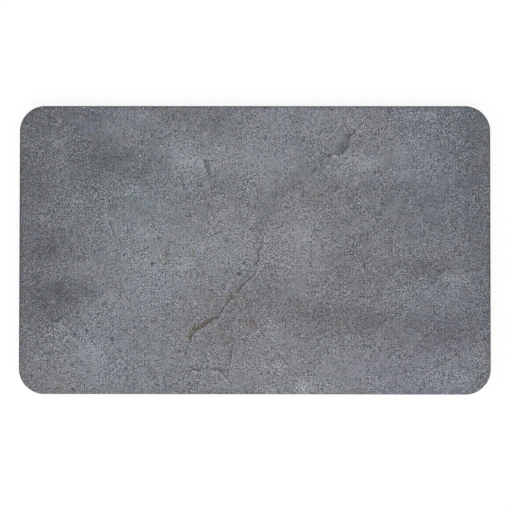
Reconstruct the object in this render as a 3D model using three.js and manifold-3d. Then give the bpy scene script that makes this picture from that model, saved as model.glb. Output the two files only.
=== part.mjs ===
import * as THREE from 'three';
import { mergeVertices } from 'three/addons/utils/BufferGeometryUtils.js';
import Module from 'manifold-3d';

// A flat serving tray of the gastronorm 1/1 size: a moulded melamine body that is open underneath,
// a printed stone decor skin over its face and sides, and push-in rubber feet.
// Millimetres, +Z up. The origin is on the table, under the middle of the tray.

// Outside size, across the lower rim and from the table to the serving face
const trayLength = 530;
const trayWidth = 325;
const trayHeight = 20;
const cornerRadius = 29.5;

// Sides, as seen in a cut across the rim
const sideDraftDegrees = 3;
const edgeRadius = 2.2;
const rimGap = 1.2;

// Decor skin: it wraps the shoulder and ends above a bare band of the body's own melamine
const decorThickness = 0.4;
const decorGap = 0.3;
const bareBandHeight = 2.6;

// Body walls
const plateThickness = 3.6;
const rimThickness = 4.0;
const cavityDraftDegrees = 6;
const cavityFilletRadius = 3;
const rimRound = 0.9;

// Stiffening ribs under the plate, short and stout as a brittle thermoset needs
const ribDepth = 3;
const ribTipThickness = 2.6;
const ribRootThickness = 3.8;

// Feet and the bosses that hold them
const footInsetX = 45;
const footInsetY = 45;
const footRadius = 10;
const footPadThickness = 3.2;
const footEdgeRound = 1.3;
const stemRadius = 3.7;
const stemLength = 7.6;
const stemLeadIn = 1.2;
const gripRingHeight = 0.5;
const gripRingWidth = 1.6;
const gripRingCount = 2;
const socketClearance = 0.3;
const socketEndClearance = 0.9;
const bossWall = 4;
const bossDraftDegrees = 2;

// Fineness of the round stretches
const cornerSteps = 14;
const shoulderSteps = 5;
const smallRoundSteps = 3;
const footSides = 24;

// Cutting and joining tools run past the faces that they meet by this much
const overrun = 1;

const halfTurn = Math.PI;
const quarterTurn = Math.PI / 2;
const sideDraft = THREE.MathUtils.degToRad(sideDraftDegrees);
const cavityDraft = THREE.MathUtils.degToRad(cavityDraftDegrees);
const bossDraft = THREE.MathUtils.degToRad(bossDraftDegrees);

// How far the body's side stands back from the tray's outside, behind the decor skin
const backedWall = (decorThickness + decorGap) / Math.cos(sideDraft);

// Heights that several pieces share
const bodyTopZ = trayHeight - decorThickness;
const plateUnderZ = bodyTopZ - plateThickness;
const widestZ = rimGap + rimRound;
const decorEndZ = rimGap + bareBandHeight;
const ribTipZ = plateUnderZ - ribDepth;
const padTopZ = footPadThickness;

const gripRingRadius = stemRadius + gripRingHeight;
const socketRadius = gripRingRadius + socketClearance;
const bossRadius = socketRadius + bossWall;
const footX = trayLength / 2 - footInsetX;
const footY = trayWidth / 2 - footInsetY;

const wasm = await Module();
wasm.setup();

// A closed mesh as a solid for joining and cutting.
function toSolid(geometry) {
  const bare = geometry.clone();
  bare.deleteAttribute('normal');
  bare.deleteAttribute('uv');
  const merged = mergeVertices(bare);
  const mesh = new wasm.Mesh({
    numProp: 3,
    vertProperties: merged.attributes.position.array,
    triVerts: new Uint32Array(merged.index.array),
  });
  return new wasm.Manifold(mesh);
}

// A joined or cut solid as a geometry with flat faces.
function toGeometry(solid) {
  const mesh = solid.getMesh();
  const geometry = new THREE.BufferGeometry();
  geometry.setAttribute('position', new THREE.BufferAttribute(mesh.vertProperties, 3));
  geometry.setIndex(new THREE.BufferAttribute(mesh.triVerts, 1));
  const flat = geometry.toNonIndexed();
  flat.computeVertexNormals();
  return flat;
}

// The tray's outline at height z, set in from the lower rim's outline by inset.
function outlineRing(inset, z) {
  const radius = cornerRadius - inset;
  const centreX = trayLength / 2 - cornerRadius;
  const centreY = trayWidth / 2 - cornerRadius;
  const corners = [
    [centreX, centreY],
    [-centreX, centreY],
    [-centreX, -centreY],
    [centreX, -centreY],
  ];
  const ring = [];
  corners.forEach(([x, y], corner) => {
    for (let step = 0; step <= cornerSteps; step++) {
      const angle = (corner + step / cornerSteps) * quarterTurn;
      ring.push([x + radius * Math.cos(angle), y + radius * Math.sin(angle), z]);
    }
  });
  return ring;
}

// A closed solid from a profile of [inset, z] pairs. Each pair becomes a ring round the outline, and
// the first and the last ring are closed by flat faces.
function sweepRound(profile) {
  const rings = profile.map(([inset, z]) => outlineRing(inset, z));
  const count = rings[0].length;
  const points = rings.flat();
  const firstCentre = points.push([0, 0, profile[0][1]]) - 1;
  const lastCentre = points.push([0, 0, profile[profile.length - 1][1]]) - 1;
  const lastRing = (rings.length - 1) * count;
  const faces = [];
  for (let i = 0; i < count; i++) {
    const next = (i + 1) % count;
    faces.push(firstCentre, i, next);
    faces.push(lastCentre, lastRing + next, lastRing + i);
    for (let ring = 0; ring < rings.length - 1; ring++) {
      const above = ring * count;
      const below = above + count;
      faces.push(above + i, below + i, below + next);
      faces.push(above + i, below + next, above + next);
    }
  }
  const geometry = new THREE.BufferGeometry();
  geometry.setAttribute('position', new THREE.Float32BufferAttribute(points.flat(), 3));
  geometry.setIndex(faces);
  return geometry;
}

// How far in a drafted wall has come at height z, if it stands at wallInset where the tray is widest.
function insetAt(wallInset, draft, z) {
  return wallInset + (z - widestZ) * Math.tan(draft);
}

// The rounded shoulder from a flat top at topZ, outwards and down to where the drafted wall begins.
function shoulder(wallInset, draft, topZ, radius, steps) {
  const centreZ = topZ - radius;
  const centreInset = insetAt(wallInset, draft, centreZ) + radius / Math.cos(draft);
  const profile = [];
  for (let step = 0; step <= steps; step++) {
    const angle = THREE.MathUtils.lerp(quarterTurn, draft, step / steps);
    profile.push([centreInset - radius * Math.cos(angle), centreZ + radius * Math.sin(angle)]);
  }
  return profile;
}

// A quarter round of the rim's lower edge. The start and end angles are counted from outwards,
// and a negative angle points down.
function rimCorner(centreInset, startAngle, endAngle) {
  const profile = [];
  for (let step = 0; step <= smallRoundSteps; step++) {
    const angle = THREE.MathUtils.lerp(startAngle, endAngle, step / smallRoundSteps);
    profile.push([centreInset - rimRound * Math.cos(angle), widestZ + rimRound * Math.sin(angle)]);
  }
  return profile;
}

// The printed decor: a thin inverted dish whose lower edge stands on the body's ledge.
function decorSkin() {
  const innerWall = decorThickness / Math.cos(sideDraft);
  const outer = shoulder(0, sideDraft, trayHeight, edgeRadius, shoulderSteps);
  const innerRadius = edgeRadius - decorThickness;
  const inner = shoulder(innerWall, sideDraft, bodyTopZ, innerRadius, shoulderSteps).reverse();
  return sweepRound([
    ...outer,
    [insetAt(0, sideDraft, decorEndZ), decorEndZ],
    [insetAt(innerWall, sideDraft, decorEndZ), decorEndZ],
    ...inner,
  ]);
}

// Plate and skirt in one, still without ribs and bosses.
function bodyShell() {
  const outerRimCentre = rimRound / Math.cos(sideDraft);
  const innerRimCentre = rimThickness - rimRound / Math.cos(cavityDraft);
  const outer = shoulder(backedWall, sideDraft, bodyTopZ, edgeRadius - decorThickness, shoulderSteps);
  const cavity = shoulder(rimThickness, cavityDraft, plateUnderZ, cavityFilletRadius, shoulderSteps);
  return sweepRound([
    ...outer,
    [insetAt(backedWall, sideDraft, decorEndZ), decorEndZ],
    [insetAt(0, sideDraft, decorEndZ), decorEndZ],
    ...rimCorner(outerRimCentre, sideDraft, -quarterTurn),
    ...rimCorner(innerRimCentre, -quarterTurn, cavityDraft - halfTurn),
    ...cavity.reverse(),
  ]);
}

// One rib along X, centred, rooted in the plate, with its tip at ribTipZ.
function ribAlongX(length) {
  const section = new THREE.Shape([
    new THREE.Vector2(-ribRootThickness / 2, plateUnderZ),
    new THREE.Vector2(-ribTipThickness / 2, ribTipZ),
    new THREE.Vector2(ribTipThickness / 2, ribTipZ),
    new THREE.Vector2(ribRootThickness / 2, plateUnderZ),
    new THREE.Vector2(ribRootThickness / 2, plateUnderZ + overrun),
    new THREE.Vector2(-ribRootThickness / 2, plateUnderZ + overrun),
  ]);
  const rib = new THREE.ExtrudeGeometry(section, { depth: length, bevelEnabled: false, steps: 1 });
  rib.translate(0, 0, -length / 2);
  const acrossToY = new THREE.Vector3(0, 1, 0);
  const heightToZ = new THREE.Vector3(0, 0, 1);
  const lengthToX = new THREE.Vector3(1, 0, 0);
  return rib.applyMatrix4(new THREE.Matrix4().makeBasis(acrossToY, heightToZ, lengthToX));
}

// Ribs through both rows of feet and along the middle, and across through each column of feet.
// They end inside the skirt, half way through its wall.
function ribs() {
  const wallOutside = insetAt(backedWall, sideDraft, ribTipZ);
  const wallInside = insetAt(rimThickness, cavityDraft, ribTipZ);
  const endInset = (wallOutside + wallInside) / 2;
  const alongX = ribAlongX(trayLength - 2 * endInset);
  const alongY = ribAlongX(trayWidth - 2 * endInset).rotateZ(quarterTurn);
  const lengthways = [-footY, 0, footY].map((y) => alongX.clone().translate(0, y, 0));
  const crossways = [-footX, 0, footX].map((x) => alongY.clone().translate(x, 0, 0));
  return [...lengthways, ...crossways].map(toSolid);
}

// An upright cylinder between two heights, a little wider at its top if it is drafted.
function uprightCylinder(radius, bottomZ, topZ, draft = 0) {
  const height = topZ - bottomZ;
  const topRadius = radius + height * Math.tan(draft);
  const cylinder = new THREE.CylinderGeometry(topRadius, radius, height, footSides);
  return cylinder.rotateX(quarterTurn).translate(0, 0, bottomZ + height / 2);
}

// Name and place of each foot: three along the front and three along the rear.
const feet = [
  ['foot_front_left', -footX, -footY],
  ['foot_front_middle', 0, -footY],
  ['foot_front_right', footX, -footY],
  ['foot_rear_left', -footX, footY],
  ['foot_rear_middle', 0, footY],
  ['foot_rear_right', footX, footY],
];

// The moulded body: plate, skirt and ribs, with a boss and a blind socket over each foot.
function trayBody() {
  const boss = uprightCylinder(bossRadius, padTopZ, plateUnderZ + overrun, bossDraft);
  const socketEndZ = padTopZ + stemLength + socketEndClearance;
  const socket = uprightCylinder(socketRadius, padTopZ - overrun, socketEndZ);
  let body = toSolid(bodyShell());
  for (const rib of ribs()) {
    body = body.add(rib);
  }
  for (const [, x, y] of feet) {
    body = body.add(toSolid(boss.clone().translate(x, y, 0)));
    body = body.subtract(toSolid(socket.clone().translate(x, y, 0)));
  }
  return toGeometry(body);
}

// A rubber foot: a round pad with a softened lower edge, and a stem with grip rings.
function footShape() {
  const outline = [[0, 0]];
  for (let step = 0; step <= smallRoundSteps; step++) {
    const angle = (step / smallRoundSteps) * quarterTurn;
    outline.push([
      footRadius - footEdgeRound * (1 - Math.sin(angle)),
      footEdgeRound * (1 - Math.cos(angle)),
    ]);
  }
  outline.push([footRadius, padTopZ], [stemRadius, padTopZ]);
  const ringPitch = (stemLength - stemLeadIn) / gripRingCount;
  for (let ring = 0; ring < gripRingCount; ring++) {
    const middleZ = padTopZ + (ring + 1 / 2) * ringPitch;
    outline.push([stemRadius, middleZ - gripRingWidth / 2]);
    outline.push([gripRingRadius, middleZ]);
    outline.push([stemRadius, middleZ + gripRingWidth / 2]);
  }
  const stemEndZ = padTopZ + stemLength;
  outline.push([stemRadius, stemEndZ - stemLeadIn], [stemRadius - stemLeadIn, stemEndZ], [0, stemEndZ]);
  const points = outline.map(([radius, z]) => new THREE.Vector2(radius, z));
  return new THREE.LatheGeometry(points, footSides).rotateX(quarterTurn);
}

const decorMaterial = new THREE.MeshStandardMaterial({ color: 0x7a7c81, roughness: 0.6, metalness: 0 });
const melamineMaterial = new THREE.MeshStandardMaterial({ color: 0x5b5d61, roughness: 0.45, metalness: 0 });
const rubberMaterial = new THREE.MeshStandardMaterial({ color: 0x2c2d2f, roughness: 0.85, metalness: 0 });

function namedMesh(name, geometry, material) {
  const mesh = new THREE.Mesh(geometry, material);
  mesh.name = name;
  return mesh;
}

const tray = new THREE.Group();
tray.add(namedMesh('tray_body', trayBody(), melamineMaterial));
tray.add(namedMesh('decor_skin', decorSkin(), decorMaterial));
const footGeometry = footShape();
for (const [name, x, y] of feet) {
  const foot = namedMesh(name, footGeometry, rubberMaterial);
  foot.position.set(x, y, 0);
  tray.add(foot);
}

export default tray;
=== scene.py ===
import math

import bmesh
import bpy
from mathutils import Euler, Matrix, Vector


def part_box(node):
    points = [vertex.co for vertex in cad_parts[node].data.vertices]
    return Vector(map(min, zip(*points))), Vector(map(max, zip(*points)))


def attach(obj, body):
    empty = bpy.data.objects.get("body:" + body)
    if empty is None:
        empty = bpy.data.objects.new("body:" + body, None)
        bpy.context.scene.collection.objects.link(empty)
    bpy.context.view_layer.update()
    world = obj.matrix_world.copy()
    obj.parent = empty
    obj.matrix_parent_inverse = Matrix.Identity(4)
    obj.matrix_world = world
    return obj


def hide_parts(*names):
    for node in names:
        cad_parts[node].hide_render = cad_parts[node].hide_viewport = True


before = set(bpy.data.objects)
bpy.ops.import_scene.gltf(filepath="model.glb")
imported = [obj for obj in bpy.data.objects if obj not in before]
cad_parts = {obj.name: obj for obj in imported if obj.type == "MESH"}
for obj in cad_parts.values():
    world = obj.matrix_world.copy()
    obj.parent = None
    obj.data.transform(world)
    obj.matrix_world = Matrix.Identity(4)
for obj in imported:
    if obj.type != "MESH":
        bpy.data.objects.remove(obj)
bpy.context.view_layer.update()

# The looks of a flat melamine serving tray: a stone-look printed skin over a dark moulded body that
# is ribbed underneath and stands on six rubber feet. Metres, in the same frame as the solids.

skin_low, skin_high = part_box("decor_skin")
body_low, body_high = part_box("tray_body")

MM = 0.001

# Outside of the tray, from the frame
HALF_LENGTH = body_high.x
HALF_WIDTH = body_high.y
FACE_Z = skin_high.z
SKIN_END_Z = skin_low.z
BODY_TOP_Z = body_high.z
RIM_Z = body_low.z

# Sizes that the boxes don't give, the same as on the solids
CORNER_RADIUS = 29.5 * MM
SIDE_DRAFT = math.radians(3)
EDGE_RADIUS = 2.2 * MM
SKIN_THICKNESS = FACE_Z - BODY_TOP_Z
SKIN_GAP = 0.3 * MM
SKIN_EDGE_ROUND = 0.12 * MM
PLATE_THICKNESS = 3.6 * MM
RIM_THICKNESS = 4.0 * MM
CAVITY_DRAFT = math.radians(6)
CAVITY_FILLET = 3.0 * MM
RIM_ROUND = 0.9 * MM
RIB_DEPTH = 3.0 * MM
RIB_TIP_HALF = 1.3 * MM
RIB_ROOT_HALF = 1.9 * MM
RIB_ROOT_FILLET = 1.4 * MM
RIB_TIP_ROUND = 0.5 * MM
BOSS_RADIUS = 8.5 * MM
BOSS_DRAFT = math.radians(2)
BOSS_ROOT_FILLET = 1.6 * MM
BOSS_EDGE_ROUND = 0.4 * MM
SOCKET_RADIUS = 4.5 * MM
SOCKET_END_Z = 11.7 * MM
SOCKET_CHAMFER = 0.5 * MM
FOOT_RADIUS = 10.0 * MM
FOOT_PAD_THICKNESS = 3.2 * MM
FOOT_EDGE_ROUND = 1.3 * MM
STEM_RADIUS = 3.7 * MM
STEM_LEAD_IN = 1.2 * MM
GRIP_RING_HEIGHT = 0.5 * MM
GRIP_RING_WIDTH = 1.6 * MM
GRIP_RING_COUNT = 2
PAD_GROOVE_RADII = (3.2 * MM, 5.4 * MM, 7.4 * MM)
PAD_GROOVE_DEPTH = 0.35 * MM
PAD_GROOVE_HALF = 0.45 * MM

# Fineness of the round stretches
CORNER_STEPS = 36
SHOULDER_STEPS = 12
SMALL_ROUND_STEPS = 6
ROUND_SIDES = 72

# Joining and cutting shapes run past the faces that they meet by this much
OVERRUN = 1.0 * MM

# A narrow flat strip inside each shoulder keeps the shading of the wide flat face even
FLAT_EDGE_STRIP = 0.4 * MM

# Edges that turn by more than this stay sharp in the shading
SHARP_ANGLE = math.radians(50)
BODY_SHARP_ANGLE = math.radians(35)

QUARTER = math.pi / 2
HALF_TURN = math.pi

WIDEST_Z = RIM_Z + RIM_ROUND
PLATE_UNDER_Z = BODY_TOP_Z - PLATE_THICKNESS
RIB_TIP_Z = PLATE_UNDER_Z - RIB_DEPTH
BACKED_WALL = (SKIN_THICKNESS + SKIN_GAP) / math.cos(SIDE_DRAFT)

FEET = [f"foot_{row}_{column}" for row in ("front", "rear") for column in ("left", "middle", "right")]

# The photo's frame, and where the tray lies in it
PHOTO_SIDE = 512
TRAY_LENGTH_PIXELS = 471.5
TRAY_CENTRE_PIXEL = (254.84, 250.08)
PIXEL = 2 * HALF_LENGTH / TRAY_LENGTH_PIXELS

# Camera: nearly straight above, leaning a little towards the photo's lower edge
CAMERA_DISTANCE = 1.6
FOCAL_PIXELS = 1428.9
SENSOR_WIDTH = 36.0
LOOK_AT = Vector((1.48 * MM, -6.91 * MM, FACE_Z))
CAMERA_LEAN = (math.radians(1.19), math.radians(0.36), math.radians(0.062))


def from_photo(pixel):
    """The place on the serving face of a pixel of the photo."""
    x = (pixel[0] - TRAY_CENTRE_PIXEL[0]) * PIXEL
    y = (TRAY_CENTRE_PIXEL[1] - pixel[1]) * PIXEL
    return Vector((x, y, 0))


# Shapes


def arc(centre_inset, centre_z, radius, start, end, steps):
    """Profile points [inset, z] round a centre. Angle 0 points outwards and a quarter turn points up."""
    points = []
    for step in range(steps + 1):
        angle = start + (end - start) * step / steps
        points.append((centre_inset - radius * math.cos(angle), centre_z + radius * math.sin(angle)))
    return points


def inset_at(wall_inset, draft, z):
    """How far in a drafted wall is at height z, if it stands at wall_inset where the tray is widest."""
    return wall_inset + (z - WIDEST_Z) * math.tan(draft)


def shoulder(wall_inset, draft, top_z, radius, steps):
    """The rounded shoulder from a flat top, outwards and down to the drafted wall."""
    centre_z = top_z - radius
    centre_inset = inset_at(wall_inset, draft, centre_z) + radius / math.cos(draft)
    return arc(centre_inset, centre_z, radius, QUARTER, draft, steps)


def outline(inset):
    """The tray's outline, set in from its widest outline, as points in order."""
    radius = CORNER_RADIUS - inset
    centre_x = HALF_LENGTH - CORNER_RADIUS
    centre_y = HALF_WIDTH - CORNER_RADIUS
    points = []
    for corner, (side_x, side_y) in enumerate(((1, 1), (-1, 1), (-1, -1), (1, -1))):
        for step in range(CORNER_STEPS + 1):
            angle = (corner + step / CORNER_STEPS) * QUARTER
            x = side_x * centre_x + radius * math.cos(angle)
            y = side_y * centre_y + radius * math.sin(angle)
            points.append((x, y))
    return points


def swept_mesh(name, profile, print_insets=None):
    """A closed mesh from profile points swept round the outline, with a flat face at both ends.

    print_insets gives for each point where the flat printed sheet lay before it was wrapped round the
    edge, as an inset, and each vertex keeps that place for the print to be drawn by.
    """
    bm = bmesh.new()
    layer = bm.verts.layers.float_vector.new("print_place")
    sheet = print_insets or [inset for inset, _ in profile]
    rings = []
    for (inset, z), print_inset in zip(profile, sheet):
        ring = []
        for (x, y), (print_x, print_y) in zip(outline(inset), outline(print_inset)):
            vertex = bm.verts.new((x, y, z))
            vertex[layer] = Vector((print_x, print_y, 0))
            ring.append(vertex)
        rings.append(ring)
    bridge_rings(bm, rings)
    bm.faces.new(rings[0])
    bm.faces.new(list(reversed(rings[-1])))
    return finished_mesh(bm, name)


def bridge_rings(bm, rings):
    """Faces between each ring of vertices and the next."""
    for ring, following in zip(rings, rings[1:]):
        count = len(ring)
        for i in range(count):
            after = (i + 1) % count
            bm.faces.new((ring[i], following[i], following[after], ring[after]))


def finished_mesh(bm, name):
    """The bmesh as a mesh with smooth faces that point out."""
    bmesh.ops.recalc_face_normals(bm, faces=bm.faces)
    for face in bm.faces:
        face.smooth = True
    mesh = bpy.data.meshes.new(name)
    bm.to_mesh(mesh)
    bm.free()
    return mesh


def lathe_mesh(name, profile, centre):
    """A closed mesh of points [radius, z] turned about an upright axis. The profile starts and ends on it."""
    bm = bmesh.new()
    rings = []
    for radius, z in profile[1:-1]:
        ring = []
        for side in range(ROUND_SIDES):
            angle = 2 * HALF_TURN * side / ROUND_SIDES
            x = centre[0] + radius * math.cos(angle)
            y = centre[1] + radius * math.sin(angle)
            ring.append(bm.verts.new((x, y, z)))
        rings.append(ring)
    bridge_rings(bm, rings)
    for ring, (_, z) in ((rings[0], profile[0]), (rings[-1], profile[-1])):
        pole = bm.verts.new((centre[0], centre[1], z))
        for i in range(ROUND_SIDES):
            bm.faces.new((pole, ring[i], ring[(i + 1) % ROUND_SIDES]))
    return finished_mesh(bm, name)


def new_object(name, mesh):
    piece = bpy.data.objects.new(name, mesh)
    bpy.context.scene.collection.objects.link(piece)
    return piece


def dress(piece, node, material):
    """Puts a piece in a CAD node's place, with its material."""
    piece.data.materials.clear()
    piece.data.materials.append(material)
    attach(piece, "root")
    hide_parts(node)


def crisp_edges(mesh, angle):
    """Edges that turn by more than angle stay sharp in the shading."""
    mesh.set_sharp_from_angle(angle=angle)


def decor_skin_mesh():
    """The printed skin: a thin inverted dish that wraps the shoulder and ends above the bare band."""
    inner_wall = SKIN_THICKNESS / math.cos(SIDE_DRAFT)
    outer = shoulder(0, SIDE_DRAFT, FACE_Z, EDGE_RADIUS, SHOULDER_STEPS)
    inner = shoulder(inner_wall, SIDE_DRAFT, BODY_TOP_Z, EDGE_RADIUS - SKIN_THICKNESS, SHOULDER_STEPS)
    flat_inset = outer[0][0]
    profile = [(flat_inset + FLAT_EDGE_STRIP, FACE_Z)]
    profile += outer
    profile += side_down_to(0, SKIN_END_Z)
    profile.append((inset_at(inner_wall, SIDE_DRAFT, SKIN_END_Z), SKIN_END_Z))
    profile += reversed(inner)
    profile.append((flat_inset + FLAT_EDGE_STRIP, BODY_TOP_Z))
    return swept_mesh("decor_skin_print", profile, sheet_insets(profile))


def side_down_to(wall_inset, end_z):
    """The drafted side below the shoulder and the small round that ends it at end_z."""
    centre_z = end_z + SKIN_EDGE_ROUND
    centre_inset = inset_at(wall_inset, SIDE_DRAFT, centre_z) + SKIN_EDGE_ROUND
    return arc(centre_inset, centre_z, SKIN_EDGE_ROUND, SIDE_DRAFT, -QUARTER, SMALL_ROUND_STEPS)


def sheet_insets(profile):
    """Where each profile point lay on the flat sheet, from the lengths between the points."""
    insets = [profile[0][0]]
    for (inset, z), (next_inset, next_z) in zip(profile, profile[1:]):
        reach = math.hypot(next_inset - inset, next_z - z)
        outwards = next_inset <= inset or next_z < z
        insets.append(insets[-1] - reach if outwards else insets[-1] + reach)
    return insets


def body_shell_mesh():
    """Plate and skirt, still without ribs, bosses and sockets."""
    outer = shoulder(BACKED_WALL, SIDE_DRAFT, BODY_TOP_Z, EDGE_RADIUS - SKIN_THICKNESS, SHOULDER_STEPS)
    cavity = shoulder(RIM_THICKNESS, CAVITY_DRAFT, PLATE_UNDER_Z, CAVITY_FILLET, SHOULDER_STEPS)
    rim_outer_centre = RIM_ROUND / math.cos(SIDE_DRAFT)
    rim_inner_centre = RIM_THICKNESS - RIM_ROUND / math.cos(CAVITY_DRAFT)
    profile = [(outer[0][0] + FLAT_EDGE_STRIP, BODY_TOP_Z)]
    profile += outer
    profile.append((inset_at(BACKED_WALL, SIDE_DRAFT, SKIN_END_Z), SKIN_END_Z))
    profile += side_ledge()
    profile += arc(rim_outer_centre, WIDEST_Z, RIM_ROUND, SIDE_DRAFT, -QUARTER, SMALL_ROUND_STEPS)
    inner_end = CAVITY_DRAFT - HALF_TURN
    profile += arc(rim_inner_centre, WIDEST_Z, RIM_ROUND, -QUARTER, inner_end, SMALL_ROUND_STEPS)
    profile += reversed(cavity)
    profile.append((cavity[0][0] + FLAT_EDGE_STRIP, PLATE_UNDER_Z))
    return swept_mesh("body_shell", profile)


def side_ledge():
    """The small rounded ledge on which the skin's lower edge stands."""
    centre_z = SKIN_END_Z - SKIN_EDGE_ROUND
    centre_inset = inset_at(0, SIDE_DRAFT, centre_z) + SKIN_EDGE_ROUND
    return arc(centre_inset, centre_z, SKIN_EDGE_ROUND, QUARTER, SIDE_DRAFT, SMALL_ROUND_STEPS)


def rib_mesh(half_length, offset, along_x):
    """One rib with a flared root and a rounded tip."""
    half = [(RIB_ROOT_HALF + RIB_ROOT_FILLET, PLATE_UNDER_Z + OVERRUN)]
    for step in range(SMALL_ROUND_STEPS + 1):
        angle = QUARTER * step / SMALL_ROUND_STEPS
        across = RIB_ROOT_HALF + RIB_ROOT_FILLET * (1 - math.sin(angle))
        half.append((across, PLATE_UNDER_Z - RIB_ROOT_FILLET * (1 - math.cos(angle))))
    for step in range(SMALL_ROUND_STEPS + 1):
        angle = QUARTER * step / SMALL_ROUND_STEPS
        across = RIB_TIP_HALF - RIB_TIP_ROUND * (1 - math.cos(angle))
        half.append((across, RIB_TIP_Z + RIB_TIP_ROUND * (1 - math.sin(angle))))
    section = half + [(-across, z) for across, z in reversed(half)]
    bm = bmesh.new()
    rings = []
    for end in (-half_length, half_length):
        ring = []
        for across, z in section:
            place = (end, offset + across, z) if along_x else (offset + across, end, z)
            ring.append(bm.verts.new(place))
        rings.append(ring)
    bridge_rings(bm, rings)
    for ring in rings:
        bm.faces.new(ring)
    return finished_mesh(bm, "rib")


def boss_mesh(centre):
    """A boss over a foot, with a rounded lower edge and a flared root."""
    top_radius = BOSS_RADIUS + (PLATE_UNDER_Z - FOOT_PAD_THICKNESS) * math.tan(BOSS_DRAFT)
    profile = [(0, FOOT_PAD_THICKNESS)]
    for step in range(SMALL_ROUND_STEPS + 1):
        angle = QUARTER * step / SMALL_ROUND_STEPS
        radius = BOSS_RADIUS - BOSS_EDGE_ROUND * (1 - math.sin(angle))
        profile.append((radius, FOOT_PAD_THICKNESS + BOSS_EDGE_ROUND * (1 - math.cos(angle))))
    for step in range(SMALL_ROUND_STEPS + 1):
        angle = QUARTER * step / SMALL_ROUND_STEPS
        radius = top_radius + BOSS_ROOT_FILLET * (1 - math.cos(angle))
        profile.append((radius, PLATE_UNDER_Z - BOSS_ROOT_FILLET * (1 - math.sin(angle))))
    profile.append((top_radius + BOSS_ROOT_FILLET, PLATE_UNDER_Z + OVERRUN))
    profile.append((0, PLATE_UNDER_Z + OVERRUN))
    return lathe_mesh("boss", profile, centre)


def socket_mesh(centre):
    """The blind hole that takes a foot's stem, with a chamfered mouth."""
    mouth = SOCKET_RADIUS + SOCKET_CHAMFER
    profile = [
        (0, FOOT_PAD_THICKNESS - OVERRUN),
        (mouth, FOOT_PAD_THICKNESS - OVERRUN),
        (mouth, FOOT_PAD_THICKNESS),
        (SOCKET_RADIUS, FOOT_PAD_THICKNESS + SOCKET_CHAMFER),
        (SOCKET_RADIUS, SOCKET_END_Z),
        (0, SOCKET_END_Z),
    ]
    return lathe_mesh("socket", profile, centre)


def joined_mesh(base, operation, others, name):
    """base with the other meshes joined to it or cut from it."""
    piece = new_object(name, base)
    helpers = []
    for other in others:
        helper = new_object("helper", other)
        modifier = piece.modifiers.new(operation.lower(), "BOOLEAN")
        modifier.operation = operation
        modifier.solver = "EXACT"
        modifier.object = helper
        helpers.append(helper)
    depsgraph = bpy.context.evaluated_depsgraph_get()
    mesh = bpy.data.meshes.new_from_object(piece.evaluated_get(depsgraph))
    mesh.name = name
    for spare in [piece] + helpers:
        bpy.data.objects.remove(spare)
    return mesh


def foot_centre(name):
    low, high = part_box(name)
    return ((low.x + high.x) / 2, (low.y + high.y) / 2)


def tray_body_mesh():
    """The moulded body: plate, skirt, ribs, bosses and sockets in one closed mesh."""
    centres = [foot_centre(name) for name in FEET]
    foot_x = max(x for x, _ in centres)
    foot_y = max(y for _, y in centres)
    wall_outside = inset_at(BACKED_WALL, SIDE_DRAFT, RIB_TIP_Z)
    wall_inside = inset_at(RIM_THICKNESS, CAVITY_DRAFT, RIB_TIP_Z)
    end_inset = (wall_outside + wall_inside) / 2
    added = [rib_mesh(HALF_LENGTH - end_inset, y, True) for y in (-foot_y, 0, foot_y)]
    added += [rib_mesh(HALF_WIDTH - end_inset, x, False) for x in (-foot_x, 0, foot_x)]
    added += [boss_mesh(centre) for centre in centres]
    body = joined_mesh(body_shell_mesh(), "UNION", added, "body_joined")
    return joined_mesh(body, "DIFFERENCE", [socket_mesh(centre) for centre in centres], "tray_body_moulding")


def foot_mesh(name):
    """A rubber foot: a pad with grip grooves and a softened edge, and a stem with two grip rings."""
    profile = [(0, 0)]
    for groove in PAD_GROOVE_RADII:
        profile.append((groove - PAD_GROOVE_HALF, 0))
        for step in range(1, SMALL_ROUND_STEPS):
            angle = HALF_TURN * step / SMALL_ROUND_STEPS
            across = groove - PAD_GROOVE_HALF * math.cos(angle)
            profile.append((across, PAD_GROOVE_DEPTH * math.sin(angle)))
        profile.append((groove + PAD_GROOVE_HALF, 0))
    for step in range(SMALL_ROUND_STEPS + 1):
        angle = QUARTER * step / SMALL_ROUND_STEPS
        radius = FOOT_RADIUS - FOOT_EDGE_ROUND * (1 - math.sin(angle))
        profile.append((radius, FOOT_EDGE_ROUND * (1 - math.cos(angle))))
    profile += [(FOOT_RADIUS, FOOT_PAD_THICKNESS), (STEM_RADIUS, FOOT_PAD_THICKNESS)]
    stem_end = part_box(name)[1].z
    ring_pitch = (stem_end - FOOT_PAD_THICKNESS - STEM_LEAD_IN) / GRIP_RING_COUNT
    for ring in range(GRIP_RING_COUNT):
        middle = FOOT_PAD_THICKNESS + (ring + 1 / 2) * ring_pitch
        for step in range(SMALL_ROUND_STEPS + 1):
            angle = HALF_TURN * step / SMALL_ROUND_STEPS
            z = middle - GRIP_RING_WIDTH / 2 * math.cos(angle)
            profile.append((STEM_RADIUS + GRIP_RING_HEIGHT * math.sin(angle), z))
    profile += [(STEM_RADIUS, stem_end - STEM_LEAD_IN), (STEM_RADIUS - STEM_LEAD_IN, stem_end), (0, stem_end)]
    return lathe_mesh(f"{name}_rubber", profile, foot_centre(name))


# Materials


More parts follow.
